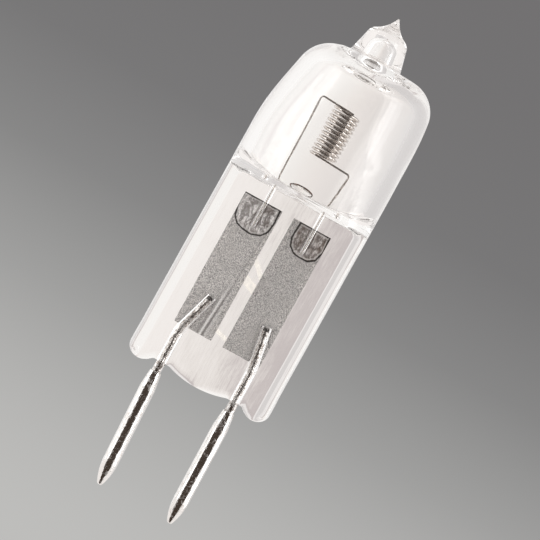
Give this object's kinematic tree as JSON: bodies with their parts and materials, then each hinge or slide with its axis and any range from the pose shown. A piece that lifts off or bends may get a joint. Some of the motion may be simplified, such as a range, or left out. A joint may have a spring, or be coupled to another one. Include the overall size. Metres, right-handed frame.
{
  "type": "halogen capsule bulb",
  "caption": "Clear quartz halogen capsule bulb with an exhaust tip, an upright coiled filament, a flat press seal with metal foils, and contact pins that plug into a lamp holder.",
  "frame": {"origin": "midway between the two contact pins, at the height where their parallel shanks begin", "axes": "+Z along the lamp's axis towards the exhaust tip, +X from the left pin to the right pin, -Y out of the front of the press seal"},
  "size_m": [0.012, 0.012, 0.0419],
  "materials": {
    "quartz_glass": "clear polished quartz, pressed faces slightly uneven",
    "tungsten": "drawn tungsten wire, dark grey and shiny",
    "molybdenum_foil": "matt speckled grey foil with creases",
    "molybdenum_wire": "drawn wire, slightly mottled",
    "pin_plating": "bright plated metal with fine mottling"
  },
  "bodies": {
    "root": {"glass_envelope": "quartz_glass", "filament": "tungsten", "foil_left": "molybdenum_foil", "foil_right": "molybdenum_foil", "lead_left": "molybdenum_wire", "lead_right": "molybdenum_wire", "contact_pin_left": "pin_plating", "contact_pin_right": "pin_plating"}
  },
  "joints": []
}
